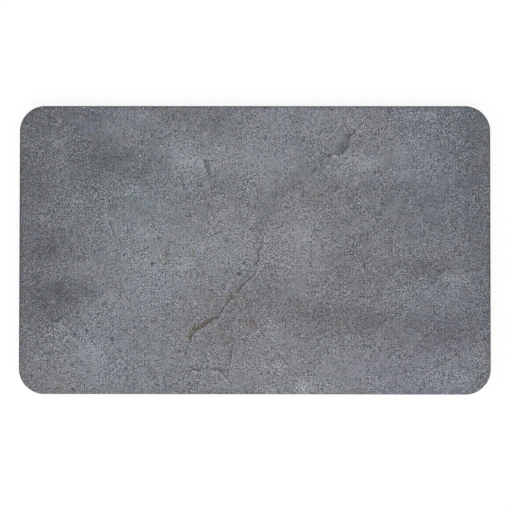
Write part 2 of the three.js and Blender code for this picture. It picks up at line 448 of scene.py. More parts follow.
class Wiring:
    """Adds nodes to one tree. Most calls give the new node's output, which the next call takes in."""

    def __init__(self, tree):
        self.tree = tree

    def node(self, kind, **settings):
        made = self.tree.nodes.new(kind)
        for key, value in settings.items():
            setattr(made, key, value)
        return made

    def feed(self, socket, value):
        if isinstance(value, bpy.types.NodeSocket):
            self.tree.links.new(value, socket)
        else:
            socket.default_value = value

    def math(self, operation, *values):
        made = self.node("ShaderNodeMath", operation=operation)
        for socket, value in zip(made.inputs, values):
            self.feed(socket, value)
        return made.outputs[0]

    def vector(self, operation, *values):
        made = self.node("ShaderNodeVectorMath", operation=operation)
        for socket, value in zip(made.inputs, values):
            self.feed(socket, value)
        return made.outputs["Value" if operation in ("LENGTH", "DOT_PRODUCT") else "Vector"]

    def noise(self, place, size, detail=2.0, roughness=0.5, colour=False):
        """Flat noise whose main lumps are size apart, about 0.5 in the middle."""
        made = self.node("ShaderNodeTexNoise", noise_dimensions="2D")
        self.feed(made.inputs["Vector"], place)
        made.inputs["Scale"].default_value = 1 / size
        made.inputs["Detail"].default_value = detail
        made.inputs["Roughness"].default_value = roughness
        return made.outputs["Color" if colour else "Fac"]

    def solid_noise(self, place, size, detail):
        """Noise all through a solid, about 0.5 in the middle."""
        made = self.node("ShaderNodeTexNoise")
        self.feed(made.inputs["Vector"], place)
        made.inputs["Scale"].default_value = 1 / size
        made.inputs["Detail"].default_value = detail
        return made.outputs["Fac"]

    def centred(self, value, gain):
        """value, which lies round 0.5, as a swing round zero."""
        return self.math("MULTIPLY", self.math("SUBTRACT", value, 0.5), gain)

    def warped(self, place, size, reach, detail=2.0):
        """place pushed about at random by up to about half of reach."""
        push = self.vector("SUBTRACT", self.noise(place, size, detail, colour=True), (0.5, 0.5, 0.5))
        return self.vector("MULTIPLY_ADD", push, (reach, reach, 0), place)

    def turned(self, place, turn, stretch):
        """place in turned axes, so that what is drawn there is turned, and stretched along them."""
        made = self.node("ShaderNodeMapping", vector_type="TEXTURE")
        self.feed(made.inputs["Vector"], place)
        made.inputs["Rotation"].default_value = (0, 0, turn)
        made.inputs["Scale"].default_value = (stretch[0], stretch[1], 1)
        return made.outputs["Vector"]

    def ease(self, value, low, high):
        """0 below low, 1 above high and a smooth step between them."""
        made = self.node("ShaderNodeMapRange", interpolation_type="SMOOTHSTEP", clamp=False)
        self.feed(made.inputs["Value"], value)
        self.feed(made.inputs["From Min"], low)
        self.feed(made.inputs["From Max"], high)
        return made.outputs["Result"]

    def blob(self, place, centre, reach):
        """1 at a pixel of the photo, falling smoothly to 0 at reach along each axis, in pixels too."""
        middle = from_photo(centre)
        size = (reach[0] * PIXEL, reach[1] * PIXEL)
        shrink = (1 / size[0], 1 / size[1], 0)
        shift = (-middle[0] / size[0], -middle[1] / size[1], 0)
        distance = self.vector("LENGTH", self.vector("MULTIPLY_ADD", place, shrink, shift))
        return self.ease(distance, 1, 0)

    def curve(self, value, points):
        """value read off a smooth curve through points."""
        made = self.node("ShaderNodeFloatCurve")
        self.feed(made.inputs["Value"], value)
        line = made.mapping.curves[0]
        while len(line.points) < len(points):
            line.points.new(0.5, 0.5)
        for point, (x, y) in zip(line.points, points):
            point.location = (x, y)
        made.mapping.update()
        return made.outputs["Value"]

    def cells(self, place, size):
        """A flat Voronoi node of cells that are size across."""
        made = self.node("ShaderNodeTexVoronoi", voronoi_dimensions="2D")
        self.feed(made.inputs["Vector"], place)
        made.inputs["Scale"].default_value = 1 / size
        return made

    def tinted(self, total, share, tint, strength):
        """total with a tint added to it, as strongly as share says."""
        step = self.node("ShaderNodeVectorMath", operation="SCALE")
        step.inputs[0].default_value = tuple(strength * part for part in tint)
        self.feed(step.inputs["Scale"], share)
        return self.vector("ADD", total, step.outputs["Vector"])

    def total(self, base, *parts):
        for part in parts:
            base = self.math("ADD", base, part)
        return base

    def bump(self, height, distance):
        """The normal of a surface that stands out by height times distance."""
        made = self.node("ShaderNodeBump")
        self.feed(made.inputs["Height"], height)
        made.inputs["Distance"].default_value = distance
        return made.outputs["Normal"]


def new_material(name):
    """A fresh material, its wiring and its main shader."""
    material = bpy.data.materials.new(name)
    material.use_nodes = True
    tree = material.node_tree
    tree.nodes.clear()
    wiring = Wiring(tree)
    shader = wiring.node("ShaderNodeBsdfPrincipled")
    output = wiring.node("ShaderNodeOutputMaterial")
    tree.links.new(shader.outputs["BSDF"], output.inputs["Surface"])
    return material, wiring, shader


# The print's main colour, and the tints that shade it, as shares to add to red, green and blue
STONE_GREY = (0.1446, 0.1516, 0.1684)
# A dark neutral tint for the print's dark marks, which also paints shade along three of the edges
DARK_PRINT_AND_SHADE = (-1.0, -1.0, -0.965)
CHALK = (1.0, 1.0, 0.965)
RUST = (-0.28, -0.60, -1.0)
TEAL_CAST = (-1.1, 0.45, 0.65)
GREEN_CAST = (-0.8, 0.9, -0.1)
BLUE_CAST = (-0.9, -0.2, 1.1)
VIOLET_CAST = (0.1, -1.0, 0.9)
RED_CAST = (1.2, -0.6, -0.6)
BROWN_CAST = (1.1, 0.0, -1.1)

# Broad soft patches of the print: tint, strength, and the centre and reach in the photo's pixels
DARK_AND_LIGHT = (
    (DARK_PRINT_AND_SHADE, 0.27, (22, 112), (62, 44)),
    (DARK_PRINT_AND_SHADE, 0.20, (75, 118), (60, 30)),
    (DARK_PRINT_AND_SHADE, 0.24, (20, 160), (60, 60)),
    (DARK_PRINT_AND_SHADE, 0.30, (90, 157), (40, 34)),
    (DARK_PRINT_AND_SHADE, 0.16, (128, 168), (60, 34)),
    (DARK_PRINT_AND_SHADE, 0.17, (24, 215), (52, 110)),
    (DARK_PRINT_AND_SHADE, 0.18, (48, 250), (44, 36)),
    (DARK_PRINT_AND_SHADE, 0.30, (60, 291), (52, 24)),
    (DARK_PRINT_AND_SHADE, 0.15, (45, 306), (44, 32)),
    (DARK_PRINT_AND_SHADE, 0.18, (18, 280), (40, 50)),
    (DARK_PRINT_AND_SHADE, 0.12, (24, 335), (44, 44)),
    (DARK_PRINT_AND_SHADE, 0.14, (76, 199), (56, 48)),
    (DARK_PRINT_AND_SHADE, 0.09, (80, 244), (42, 26)),
    (DARK_PRINT_AND_SHADE, 0.14, (62, 310), (40, 24)),
    (DARK_PRINT_AND_SHADE, 0.07, (28, 385), (34, 24)),
    (DARK_PRINT_AND_SHADE, 0.07, (215, 118), (75, 26)),
    (DARK_PRINT_AND_SHADE, 0.05, (235, 190), (46, 22)),
    (DARK_PRINT_AND_SHADE, 0.07, (262, 215), (34, 28)),
    (DARK_PRINT_AND_SHADE, 0.15, (470, 118), (52, 44)),
    (DARK_PRINT_AND_SHADE, 0.20, (478, 165), (46, 70)),
    (DARK_PRINT_AND_SHADE, 0.07, (385, 190), (90, 30)),
    (DARK_PRINT_AND_SHADE, 0.11, (445, 214), (80, 44)),
    (DARK_PRINT_AND_SHADE, 0.18, (484, 245), (40, 60)),
    (DARK_PRINT_AND_SHADE, 0.14, (425, 266), (52, 28)),
    (DARK_PRINT_AND_SHADE, 0.06, (360, 268), (54, 50)),
    (DARK_PRINT_AND_SHADE, 0.14, (490, 308), (44, 56)),
    (DARK_PRINT_AND_SHADE, 0.22, (445, 330), (56, 30)),
    (DARK_PRINT_AND_SHADE, 0.12, (325, 318), (66, 26)),
    (DARK_PRINT_AND_SHADE, 0.11, (380, 322), (56, 30)),
    (DARK_PRINT_AND_SHADE, 0.07, (250, 302), (60, 30)),
    (DARK_PRINT_AND_SHADE, 0.04, (225, 330), (50, 30)),
    (CHALK, 0.15, (186, 160), (44, 38)),
    (CHALK, 0.13, (225, 158), (52, 30)),
    (CHALK, 0.14, (270, 132), (60, 56)),
    (CHALK, 0.14, (270, 170), (60, 40)),
    (CHALK, 0.13, (335, 120), (64, 34)),
    (CHALK, 0.14, (352, 166), (44, 26)),
    (CHALK, 0.11, (405, 156), (50, 40)),
    (CHALK, 0.10, (230, 215), (90, 40)),
    (CHALK, 0.14, (150, 250), (56, 64)),
    (CHALK, 0.03, (110, 235), (60, 40)),
    (CHALK, 0.13, (215, 245), (70, 40)),
    (CHALK, 0.20, (302, 240), (44, 52)),
    (CHALK, 0.09, (255, 252), (60, 40)),
    (CHALK, 0.12, (150, 290), (64, 44)),
    (CHALK, 0.09, (205, 275), (54, 50)),
    (CHALK, 0.06, (300, 278), (40, 26)),
    (CHALK, 0.07, (110, 320), (60, 36)),
    (CHALK, 0.14, (100, 362), (56, 44)),
    (CHALK, 0.08, (170, 355), (60, 50)),
    (CHALK, 0.12, (245, 370), (70, 40)),
    (CHALK, 0.12, (280, 338), (40, 36)),
    (CHALK, 0.14, (340, 368), (80, 40)),
    (CHALK, 0.14, (305, 390), (60, 24)),
    (CHALK, 0.05, (440, 378), (70, 30)),
    (CHALK, 0.07, (130, 385), (36, 20)),
    (CHALK, 0.07, (392, 386), (52, 18)),
    (DARK_PRINT_AND_SHADE, 0.07, (482, 380), (28, 34)),
    (DARK_PRINT_AND_SHADE, 0.07, (432, 150), (32, 24)),
)

# Where the grey leans to a hue, listed in the same way
CASTS = (
    (TEAL_CAST, 0.05, (125, 195), (90, 64)),
    (TEAL_CAST, 0.05, (178, 155), (50, 34)),
    (GREEN_CAST, 0.04, (150, 258), (60, 36)),
    (GREEN_CAST, 0.02, (120, 190), (90, 60)),
    (BLUE_CAST, 0.04, (100, 120), (70, 40)),
    (BLUE_CAST, 0.02, (115, 245), (50, 40)),
    (BLUE_CAST, 0.05, (155, 290), (50, 36)),
    (BLUE_CAST, 0.045, (105, 335), (60, 50)),
    (BLUE_CAST, 0.03, (120, 375), (70, 44)),
    (GREEN_CAST, 0.03, (320, 165), (40, 34)),
    (BLUE_CAST, 0.03, (278, 150), (40, 44)),
    (BLUE_CAST, 0.03, (285, 110), (50, 26)),
    (BLUE_CAST, 0.06, (425, 145), (80, 80)),
    (TEAL_CAST, 0.05, (475, 112), (60, 36)),
    (BLUE_CAST, 0.055, (445, 210), (70, 60)),
    (BLUE_CAST, 0.05, (440, 298), (60, 34)),
    (BLUE_CAST, 0.04, (485, 290), (36, 80)),
    (VIOLET_CAST, 0.04, (440, 345), (90, 50)),
    (BLUE_CAST, 0.075, (430, 388), (80, 44)),
    (VIOLET_CAST, 0.05, (375, 375), (60, 40)),
    (RED_CAST, 0.03, (370, 140), (60, 50)),
    (RED_CAST, 0.05, (318, 200), (60, 44)),
    (RED_CAST, 0.05, (275, 242), (44, 36)),
    (RED_CAST, 0.03, (340, 270), (100, 70)),
    (RED_CAST, 0.02, (300, 305), (110, 60)),
    (RED_CAST, 0.02, (355, 325), (80, 44)),
    (BROWN_CAST, 0.02, (222, 300), (60, 44)),
    (BROWN_CAST, 0.02, (250, 325), (60, 30)),
    (BROWN_CAST, 0.035, (195, 335), (34, 28)),
    (RED_CAST, 0.03, (220, 320), (60, 50)),
    (RED_CAST, 0.04, (260, 365), (90, 44)),
    (BROWN_CAST, 0.03, (225, 215), (60, 40)),
    (VIOLET_CAST, 0.015, (30, 250), (50, 110)),
    (RED_CAST, 0.05, (35, 385), (60, 40)),
    (BROWN_CAST, 0.015, (450, 265), (56, 34)),
)

# Smaller patches, listed in the same way
SMALL_PATCHES = (
    (DARK_PRINT_AND_SHADE, 0.10, (45, 250), (15, 18)),
    (DARK_PRINT_AND_SHADE, 0.10, (42, 190), (16, 22)),
    (DARK_PRINT_AND_SHADE, 0.10, (84, 295), (20, 12)),
    (DARK_PRINT_AND_SHADE, 0.08, (118, 155), (26, 12)),
    (CHALK, 0.10, (186, 158), (18, 14)),
    (CHALK, 0.10, (148, 235), (20, 16)),
    (CHALK, 0.12, (152, 265), (22, 14)),
    (CHALK, 0.12, (186, 262), (14, 12)),
    (CHALK, 0.14, (301, 238), (16, 14)),
    (CHALK, 0.08, (276, 332), (14, 16)),
    (CHALK, 0.10, (90, 353), (20, 14)),
    (CHALK, 0.10, (362, 164), (20, 12)),
    (DARK_PRINT_AND_SHADE, 0.10, (208, 212), (14, 22)),
    (DARK_PRINT_AND_SHADE, 0.12, (430, 268), (26, 12)),
    (DARK_PRINT_AND_SHADE, 0.10, (472, 176), (16, 14)),
    (DARK_PRINT_AND_SHADE, 0.08, (300, 317), (22, 9)),
    (DARK_PRINT_AND_SHADE, 0.08, (372, 320), (26, 11)),
)

# Stains, pits, chips and short strokes, and painted shade as darker strips along three of the edges
SPOTS = (
    (RUST, 0.46, (167.5, 255), (6, 8)),
    (RUST, 0.30, (253, 322.5), (9, 5)),
    (RUST, 0.32, (289, 314.5), (5, 4)),
    (RUST, 0.62, (232, 297), (5, 4.5)),
    (RUST, 0.30, (233, 338), (5, 3)),
    (RUST, 0.38, (194, 253), (4, 5)),
    (RUST, 0.20, (438, 272.5), (4.5, 3.5)),
    (RUST, 0.20, (207, 299), (9, 6)),
    (RUST, 0.16, (267, 283), (5, 9)),
    (DARK_PRINT_AND_SHADE, 1.50, (239.4, 274), (2.8, 2.8)),
    (DARK_PRINT_AND_SHADE, 1.20, (153, 264), (3.2, 3)),
    (DARK_PRINT_AND_SHADE, 1.10, (438.4, 272), (3.6, 3)),
    (DARK_PRINT_AND_SHADE, 0.30, (322, 331), (6, 4)),
    (DARK_PRINT_AND_SHADE, 0.80, (477, 200), (5, 4)),
    (DARK_PRINT_AND_SHADE, 1.20, (76, 335), (3, 2.6)),
    (DARK_PRINT_AND_SHADE, 1.30, (88, 331), (2.6, 2.4)),
    (DARK_PRINT_AND_SHADE, 0.60, (105, 304.5), (3.4, 2.4)),
    (DARK_PRINT_AND_SHADE, 0.60, (114.5, 303.5), (2.8, 2.4)),
    (DARK_PRINT_AND_SHADE, 0.32, (36.5, 253), (8, 9)),
    (DARK_PRINT_AND_SHADE, 0.18, (53, 250), (9, 12)),
    (DARK_PRINT_AND_SHADE, 0.30, (58, 291), (8, 11)),
    (DARK_PRINT_AND_SHADE, 0.22, (44, 303), (14, 10)),
    (DARK_PRINT_AND_SHADE, 0.18, (72, 296), (12, 7)),
    (DARK_PRINT_AND_SHADE, 0.16, (54, 321), (11, 6)),
    (DARK_PRINT_AND_SHADE, 0.18, (38, 277), (7, 9)),
    (DARK_PRINT_AND_SHADE, 0.60, (74, 389), (3, 2.6)),
    (DARK_PRINT_AND_SHADE, 1.30, (113, 339), (3, 2.6)),
    (DARK_PRINT_AND_SHADE, 1.10, (329.3, 156), (3.2, 2.6)),
    (GREEN_CAST, 0.05, (343, 145), (11, 13)),
    (DARK_PRINT_AND_SHADE, 0.50, (303, 140.5), (3, 4)),
    (DARK_PRINT_AND_SHADE, 0.26, (226.5, 239.5), (6, 5)),
    (DARK_PRINT_AND_SHADE, 0.50, (111.5, 223.5), (2.8, 3.6)),
    (DARK_PRINT_AND_SHADE, 0.50, (380, 214), (2.6, 3)),
    (DARK_PRINT_AND_SHADE, 0.50, (375.5, 219.5), (3.2, 2.4)),
    (DARK_PRINT_AND_SHADE, 0.40, (201, 185.5), (4, 2.4)),
    (DARK_PRINT_AND_SHADE, 0.40, (379, 172), (7, 2.6)),
    # Painted shade: darker strips along the left, right and upper edges, where the shoulder turns from the
    # light
    (DARK_PRINT_AND_SHADE, 0.26, (20.5, 250), (4.5, 230)),
    (DARK_PRINT_AND_SHADE, 0.15, (489, 250), (4.5, 230)),
    (DARK_PRINT_AND_SHADE, 0.06, (250, 107), (330, 4)),
    (CHALK, 0.80, (334, 156.6), (3.5, 2.6)),
    (CHALK, 0.70, (337.5, 158), (3, 2.6)),
    (CHALK, 0.90, (226.9, 379.5), (3, 2.4)),
    (CHALK, 0.60, (53.5, 301.5), (4, 2.4)),
    (CHALK, 0.40, (279.5, 120.5), (3.4, 2.8)),
    (CHALK, 0.40, (205, 135), (4, 3)),
)

# Pale crusty clusters: strength, and the centre and reach
CRUSTS = (
    (1.30, (304, 386), (15, 10)),
    (1.00, (280, 366), (11, 8)),
    (0.70, (266, 366.5), (12, 4)),
    (0.90, (269, 390), (11, 7)),
    (0.95, (447, 277), (11, 8)),
    (0.85, (456, 280), (11, 8)),
    (0.70, (184, 266), (12, 8)),
    (0.62, (188, 162), (18, 10)),
    (0.62, (201, 166), (12, 10)),
    (0.60, (222, 149), (16, 7)),
    (0.40, (176, 148), (16, 12)),
    (0.66, (78, 120), (12, 8)),
    (0.55, (57, 142), (12, 9)),
    (0.55, (78, 203), (18, 10)),
    (0.45, (107, 220), (16, 11)),
    (0.45, (201, 246), (16, 9)),
    (0.40, (130, 192), (24, 9)),
    (0.55, (462, 378), (18, 11)),
    (0.50, (437, 384), (20, 10)),
    (0.50, (113, 300), (20, 9)),
    (0.50, (52, 301), (11, 8)),
    (0.45, (143, 117), (16, 9)),
    (0.45, (425, 115), (22, 9)),
    (0.40, (90, 353), (22, 14)),
    (0.55, (368, 163), (18, 11)),
    (0.45, (350, 160), (12, 7)),
    (0.50, (216, 165), (7, 5)),
    (0.50, (86, 317), (6, 4)),
)

# Where the grain is livelier or calmer than elsewhere: the change, and the centre and reach
LIVELY = (
    (-0.34, (120, 122), (100, 34)),
    (-0.26, (215, 118), (60, 30)),
    (-0.20, (330, 122), (60, 30)),
    (-0.18, (125, 162), (50, 30)),
    (-0.28, (410, 212), (100, 50)),
    (-0.22, (420, 330), (90, 44)),
    (-0.14, (370, 372), (60, 36)),
    (0.42, (85, 200), (54, 34)),
    (0.20, (200, 178), (70, 36)),
    (0.48, (266, 254), (50, 36)),
    (0.50, (58, 336), (56, 30)),
    (0.34, (155, 285), (44, 56)),
    (0.40, (445, 277), (38, 24)),
    (0.50, (302, 386), (36, 22)),
    (0.40, (275, 362), (36, 26)),
    (0.34, (210, 372), (36, 28)),
    (0.44, (257, 331), (34, 24)),
    (0.30, (415, 116), (50, 22)),
    (0.22, (450, 380), (50, 24)),
    (0.50, (358, 165), (32, 18)),
    (-0.55, (342, 140), (12, 14)),
    (-0.50, (307, 169), (24, 14)),
    (-0.35, (284, 190), (16, 14)),
    (0.40, (104, 318), (30, 20)),
    (-0.30, (55, 292), (34, 16)),
)

# How the sand, the coarser grain and the fine strokes lie: turned, squeezed or stretched
STROKE_SLANT = math.radians(38)
LEVEL_SLANT = math.radians(-4)
STROKE_STRETCH = (6, 1)
SAND_STRETCH = (1.12, 0.90)
GRAIN_SQUEEZE = (0.86, 1.14, 1)

# The relief is lit by how much the grain rises from a place to this far beside it
RELIEF_SHIFT = (0.8 * MM, -0.8 * MM, 0)

# How far red, green and blue drift apart, how dark the darkest places may get, and the glaze's gloss
HUE_DRIFT = (0.30, 0.07, 0.32)
DARKEST_SHARES = (0.18, 0.18, 0.18)
GLAZE_ROUGHNESS = 0.52

# A line fades out at LINE_SPREAD times its half width. A pale lip may run beside it, as far off as
# LIP_OFFSET times the faded half width, and fades out at LIP_REACH times it.
LINE_SPREAD = 1.7
LIP_OFFSET = 2.2
LIP_REACH = 2.0
LIP_STRENGTH = 0.16

# The curves that guide a line run from 0 to 1, with some room left beyond its own swing and width
SWING_ROOM = 1.2
LEAST_SWING = 0.01
WIDTH_ROOM = 1.1

# Lines of the print, as points in the photo's pixels, each with the half width there
RUST_BAND = (
    (190.5, 342.5, 0.6), (189.4, 337.5, 2.0), (192.5, 332, 2.2), (197.5, 327.8, 2.0), (203, 324.3, 1.8),
    (207.5, 320.8, 1.3), (212, 318, 0.5),
)
VEIN = (
    (193, 343.4, 0.5), (191, 339.4, 0.8), (192.3, 335.5, 0.8), (196.2, 330.5, 0.7), (200.7, 327.7, 0.9),
    (204.6, 325.5, 0.9), (207.4, 323.2, 1.0), (210.7, 320.4, 1.0), (214.6, 318.4, 0.7), (219.1, 316.9, 0.7),
    (221.3, 312.6, 0.7), (225.8, 304.8, 0.6), (228.6, 301.5, 0.6), (232, 297.5, 0.5),
)
UPPER_CRACK = (
    (234.7, 294.2, 0.5), (239.2, 289.8, 0.6), (247, 281.4, 0.6), (252, 276.9, 0.6), (255.9, 272.5, 0.5),
    (256.5, 268, 0.4), (256.5, 263.5, 0.9), (258.7, 259.1, 0.8), (258.2, 252.4, 0.9), (261.5, 246.8, 0.9),
    (261.5, 240.1, 0.8), (263.2, 237.9, 0.6), (261, 234.5, 0.7), (257, 225.6, 0.4),
)
LEFT_FAINT_LINE = ((188, 347, 0.4), (186, 353, 0.8), (185.5, 358, 0.4))
LOWER_CRACK = (
    (191.2, 365.1, 0.6), (192.9, 368.4, 0.7), (197.9, 369.6, 0.8), (203.5, 369, 0.5), (212.4, 367.9, 0.6),
    (215.8, 368.4, 1.0), (220.2, 369, 1.0), (223.6, 373.5, 0.6), (230.8, 381.8, 0.4),
)
HAIRLINE = ((232.5, 345, 0.5), (231.4, 352.8, 0.7), (231.4, 358.4, 0.6), (229.7, 366, 0.5))
HOOK = ((227.2, 343.8, 0.5), (230.3, 340.6, 0.9), (234, 340, 0.6), (237, 337, 0.4))
SMEAR_EDGE = (
    (385.9, 107.7, 0.2), (372.5, 114.8, 0.3), (364.5, 121.1, 0.4), (354.6, 131.8, 0.7), (347.9, 138.9, 1.2),
    (348.2, 141.6, 0.8), (347.1, 146.5, 1.1), (343.9, 150.5, 1.0), (340.8, 153.7, 1.0), (334, 153.7, 0.5),
)
SMEAR = (
    (355, 130, 1.2), (349, 137, 3.4), (345, 143, 3.6), (340, 149.5, 3.4), (335, 153.5, 1.4),
    (330, 156, 0.6),
)
SMEAR_TAIL = (
    (330, 157, 1.5), (322, 161, 4.0), (311, 167, 5.0), (303, 174, 5.5), (294, 181, 5.5),
    (285, 189, 5.0), (272, 199, 4.0),
)
TAIL_EDGE = ((318, 167, 0.4), (314.5, 171, 1.0), (311.5, 174.5, 0.4))
SHORT_CRACK = (
    (203.5, 160, 0.4), (206.3, 162.5, 2.3), (207.6, 166, 2.5), (208.2, 170, 1.5), (209, 174, 0.7),
    (211, 179, 0.3),
)
BROWN_HAIR = ((211, 233.8, 0.4), (213.5, 230, 0.6), (217, 225.5, 0.6), (220.5, 221.5, 0.4))
LEFT_SCRATCH = (
    (133.5, 254.3, 0.4), (139, 252, 0.7), (144, 250.5, 0.6), (148, 248.3, 0.8), (149.5, 246, 0.4),
)
LEFT_WEDGE = ((43, 330.5, 0.4), (48, 326.5, 0.9), (52.5, 325.7, 1.1), (55.5, 327, 0.6))
LEFT_STROKE = ((51, 318.5, 0.3), (56.5, 321, 1.1), (61, 318, 0.9), (66, 314, 0.4))
SEAM = ((388, 107, 0.6), (387.5, 114, 2.0), (387.5, 121, 2.0), (387, 128, 0.8))


def stone_patches(wiring, place, patches, total, weight=1.0):
    """total with soft patches added to it, as shares to add to the stone's colour."""
    for tint, strength, centre, reach in patches:
        share = wiring.blob(place, centre, reach)
        total = wiring.tinted(total, share, tint, strength * weight)
    return total


def stone_line(wiring, place, points, softness, lip_side):
    """1 on a line that wanders through points and 0 off it, and the same for the lip beside it."""
    spots = [from_photo(point) for point in points]
    start, end = spots[0], spots[-1]
    length = (end - start).length
    along = (end - start) / length
    across = Vector((-along.y, along.x, 0))
    shares = []
    for spot, (_, _, half_width) in zip(spots, points):
        run = (spot - start).dot(along) / length
        side = (spot - start).dot(across) / length
        shares.append((run, side, LINE_SPREAD * half_width * PIXEL / length))
    reach = SWING_ROOM * max(abs(side) for _, side, _ in shares) + LEAST_SWING
    widest = WIDTH_ROOM * max(width for _, _, width in shares)
    offset = wiring.vector("SUBTRACT", place, start)
    run = wiring.vector("DOT_PRODUCT", offset, along / length)
    side = wiring.vector("DOT_PRODUCT", offset, across / length)
    wander_points = [(run_share, 0.5 + side_share / reach / 2) for run_share, side_share, _ in shares]
    wander = wiring.curve(run, wander_points)
    off = wiring.math("SUBTRACT", side, wiring.centred(wander, 2 * reach))
    width_points = [(run_share, width_share / widest) for run_share, _, width_share in shares]
    width = wiring.math("MULTIPLY", wiring.curve(run, width_points), widest)
    within = wiring.math("COMPARE", run, 0.5, 0.5)
    core = wiring.ease(wiring.math("ABSOLUTE", off), width, wiring.math("MULTIPLY", width, softness))
    core = wiring.math("MULTIPLY", core, within)
    if not lip_side:
        return core, None
    lip_off = wiring.math("ABSOLUTE", wiring.math("MULTIPLY_ADD", width, -LIP_OFFSET * lip_side, off))
    lip = wiring.ease(lip_off, wiring.math("MULTIPLY", width, LIP_REACH), 0)
    return core, wiring.math("MULTIPLY", lip, within)


def stone_grain(wiring, place):
    """The print's fine grain: sand, pits, flecks and a slight relief that is lit from the upper left."""
    liveliness = wiring.ease(wiring.noise(place, 30 * MM, 3.0, 0.6), 0.34, 0.66)
    strength = wiring.math("MULTIPLY_ADD", liveliness, 0.66, 0.70)
    for change, centre, reach in LIVELY:
        strength = wiring.math("MULTIPLY_ADD", wiring.blob(place, centre, reach), change, strength)
    squeezed = wiring.vector("MULTIPLY", place, GRAIN_SQUEEZE)
    coarse = wiring.centred(wiring.noise(squeezed, 4 * MM, 1.0, 0.5), 0.6)
    slanted = wiring.turned(place, STROKE_SLANT, SAND_STRETCH)
    sand = wiring.centred(wiring.noise(slanted, 1.3 * MM, 2.0, 0.5), 4.5)
    beside = wiring.noise(wiring.vector("ADD", squeezed, RELIEF_SHIFT), 6 * MM, 5.0, 0.7)
    here = wiring.noise(squeezed, 6 * MM, 5.0, 0.7)
    relief = wiring.math("MULTIPLY", wiring.math("SUBTRACT", beside, here), 1.7)
    pits = speckles(wiring, squeezed, 3.4 * MM, reach_share=0.31, chosen_above=0.70, strength=-2.0)
    flecks = speckles(wiring, place, 3.9 * MM, reach_share=0.27, chosen_above=0.60, strength=0.90)
    return wiring.math("MULTIPLY", wiring.total(coarse, sand, relief, pits, flecks), strength)


def stone_crusts(wiring, place, ragged_place):
    """Clusters of pale dots, with ragged outlines."""
    total = 0
    for strength, centre, reach in CRUSTS:
        total = wiring.math("MULTIPLY_ADD", wiring.blob(ragged_place, centre, reach), strength, total)
    dots = wiring.ease(wiring.noise(place, 2.1 * MM, 2.0, 0.6), 0.44, 0.60)
    return wiring.math("MULTIPLY", total, dots)


def speckles(wiring, place, spacing, reach_share, chosen_above, strength):
    """Small ragged dots, in some cells only."""
    cells = wiring.cells(wiring.warped(place, spacing / 2, spacing / 2, 1.0), spacing)
    dot = wiring.ease(cells.outputs["Distance"], reach_share, reach_share / 3)
    pick = wiring.node("ShaderNodeSeparateColor")
    wiring.feed(pick.inputs["Color"], cells.outputs["Color"])
    chosen = wiring.ease(pick.outputs["Red"], chosen_above, 1)
    return wiring.math("MULTIPLY", wiring.math("MULTIPLY", dot, chosen), strength)


def stone_streaks(wiring, place, turn, centre, reach, strength):
    """Fine parallel strokes in one part of the print."""
    stretched = wiring.turned(place, turn, STROKE_STRETCH)
    strokes = wiring.centred(wiring.noise(stretched, 1.9 * MM, 2.0, 0.6), strength)
    return wiring.math("MULTIPLY", strokes, wiring.blob(place, centre, reach))


def edge_distance(wiring, place):
    """How far in from the sheet's flat outline a place of the print lies."""
    centre = Vector((HALF_LENGTH - CORNER_RADIUS, HALF_WIDTH - CORNER_RADIUS, 0))
    folded = wiring.vector("SUBTRACT", wiring.vector("ABSOLUTE", place), centre)
    outside = wiring.vector("LENGTH", wiring.vector("MAXIMUM", folded, (0, 0, 0)))
    axes = wiring.node("ShaderNodeSeparateXYZ")
    wiring.feed(axes.inputs["Vector"], folded)
    larger = wiring.math("MAXIMUM", axes.outputs["X"], axes.outputs["Y"])
    inside = wiring.math("MINIMUM", larger, 0)
    return wiring.math("SUBTRACT", CORNER_RADIUS, wiring.math("ADD", outside, inside))


# Where the rounded shoulder's middle lies on the flat sheet, as an inset
SHOULDER_MIDDLE = 1.4 * MM


